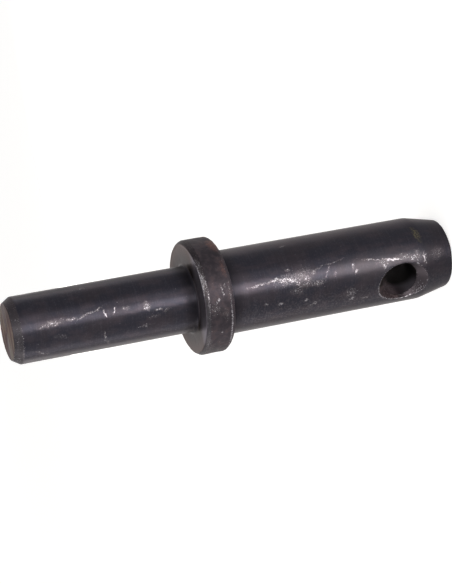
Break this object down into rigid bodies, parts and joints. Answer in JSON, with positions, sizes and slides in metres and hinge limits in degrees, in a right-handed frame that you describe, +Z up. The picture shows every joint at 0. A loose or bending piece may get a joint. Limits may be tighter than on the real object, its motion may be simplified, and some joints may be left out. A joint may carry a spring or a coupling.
{
  "type": "lift pin",
  "caption": "Turned steel lift pin: a thin shank, a round collar, and a thicker pin with a tapered nose and a countersunk cross hole for a linch pin.",
  "frame": {"origin": "centre of the flat end of the nose, on which the pin stands", "axes": "+Z up the common axis, from the nose to the end of the shank; Y through the cross hole; X across both"},
  "size_m": [0.038, 0.038, 0.1524],
  "materials": {
    "blackened_steel": "satin"
  },
  "bodies": {
    "root": {"lift_pin": "blackened_steel"}
  },
  "joints": []
}
